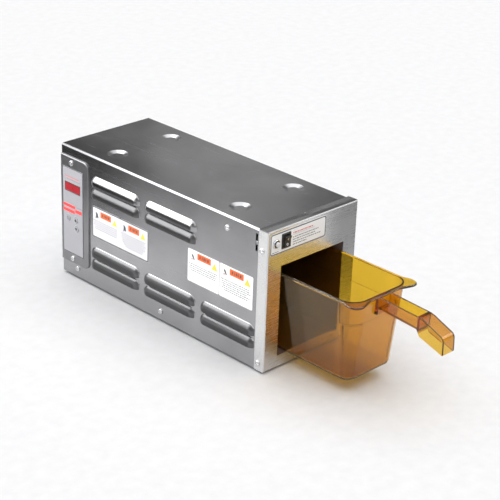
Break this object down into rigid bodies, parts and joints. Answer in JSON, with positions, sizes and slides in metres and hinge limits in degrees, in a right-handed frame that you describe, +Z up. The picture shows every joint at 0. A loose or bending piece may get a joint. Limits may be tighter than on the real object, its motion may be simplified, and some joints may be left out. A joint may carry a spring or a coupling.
{
  "type": "heated holding cabinet with slide-in pan",
  "caption": "Low stainless heated holding cabinet with louvred sides, a side control panel and an amber clear pan with a handle that slides in one slot.",
  "frame": {"origin": "middle of the whole object's footprint with the pan part way out, on the surface that the feet stand on", "axes": "+Z up, +Y from the slot face to the back, +X from the control side to the far side"},
  "size_m": [0.177, 0.6501, 0.203],
  "materials": {
    "stainless_wrap": "brushed",
    "stainless_face": "polished sheet",
    "galvanised_sheet": "mill finish",
    "cavity_dark": "dark heat-stained coating",
    "heat_plate": "mill finish",
    "element_sheath": "oxidised",
    "insulation": "ceramic fibre felt",
    "bezel_steel": "brushed",
    "overlay_print": "printed film",
    "display_red": "tinted lens",
    "bar_red": "light pipe",
    "black_plastic": "moulded",
    "paddle_plastic": "moulded",
    "button_print": "printed film cap",
    "reset_plastic": "moulded",
    "board_green": "solder mask",
    "nylon": "moulded",
    "lamination": "varnished laminations",
    "winding": "taped winding",
    "contact_brass": "bright",
    "zinc_nut": "plated",
    "screw_steel": "plated",
    "sleeving": "woven sleeve",
    "label_white": "printed label",
    "label_grey": "printed label",
    "foot_rubber": "moulded",
    "amber_plastic": "clear moulded"
  },
  "bodies": {
    "cabinet": {"outer_wrap": "stainless_wrap", "front_frame": "stainless_face", "base_pan": "galvanised_sheet", "back_panel": "galvanised_sheet", "hook_brackets": "galvanised_sheet", "cross_brace": "galvanised_sheet", "bulkhead": "galvanised_sheet", "cavity_liner": "cavity_dark", "upper_heat_plate": "heat_plate", "lower_heat_plate": "heat_plate", "element_clips": "heat_plate", "lower_element": "element_sheath", "upper_element": "element_sheath", "temperature_probe": "element_sheath", "top_insulation": "insulation", "side_insulation": "insulation", "rear_insulation": "insulation", "control_bezel": "bezel_steel", "control_overlay": "overlay_print", "display_window": "display_red", "indicator_bars": "bar_red", "display_module": "black_plastic", "solid_state_relay": "black_plastic", "power_inlet": "black_plastic", "switch_housing": "black_plastic", "breaker_body": "black_plastic", "tact_switches": "black_plastic", "high_limit_thermostat": "black_plastic", "control_board": "board_green", "board_standoffs": "nylon", "terminal_block": "nylon", "transformer_core": "lamination", "transformer_coil": "winding", "inlet_blades": "contact_brass", "switch_terminals": "contact_brass", "breaker_nut": "zinc_nut", "flange_screws": "screw_steel", "side_screws": "screw_steel", "bezel_screws": "screw_steel", "back_screws": "screw_steel", "foot_screws": "screw_steel", "wire_harness": "sleeving", "face_label": "label_white", "side_label_front": "label_white", "side_label_rear": "label_grey", "bumper_feet": "foot_rubber"},
    "food_pan": {"food_pan": "amber_plastic"},
    "rocker": {"rocker_paddle": "paddle_plastic"},
    "reset_button": {"reset_button": "reset_plastic"},
    "power_button": {"power_button": "button_print"},
    "up_button": {"up_button": "button_print"},
    "down_button": {"down_button": "button_print"}
  },
  "joints": [
    {"name": "pan_slide", "type": "slide", "parent": "cabinet", "child": "food_pan", "axis": [0, 1, 0], "range_m": [-0.215, 0.104]},
    {"name": "rocker_tilt", "type": "hinge", "parent": "cabinet", "child": "rocker", "pos_m": [-0.052, -0.0911, 0.1842], "axis": [-1, 0, 0], "range_deg": [0, 18]},
    {"name": "reset_press", "type": "slide", "parent": "cabinet", "child": "reset_button", "axis": [0, 1, 0], "range_m": [0, 0.002], "stiffness_N_per_m": 500, "springref_m": -0.001},
    {"name": "power_press", "type": "slide", "parent": "cabinet", "child": "power_button", "axis": [1, 0, 0], "range_m": [0, 0.0005], "stiffness_N_per_m": 600, "springref_m": -0.001},
    {"name": "up_press", "type": "slide", "parent": "cabinet", "child": "up_button", "axis": [1, 0, 0], "range_m": [0, 0.0005], "stiffness_N_per_m": 600, "springref_m": -0.001},
    {"name": "down_press", "type": "slide", "parent": "cabinet", "child": "down_button", "axis": [1, 0, 0], "range_m": [0, 0.0005], "stiffness_N_per_m": 600, "springref_m": -0.001}
  ]
}
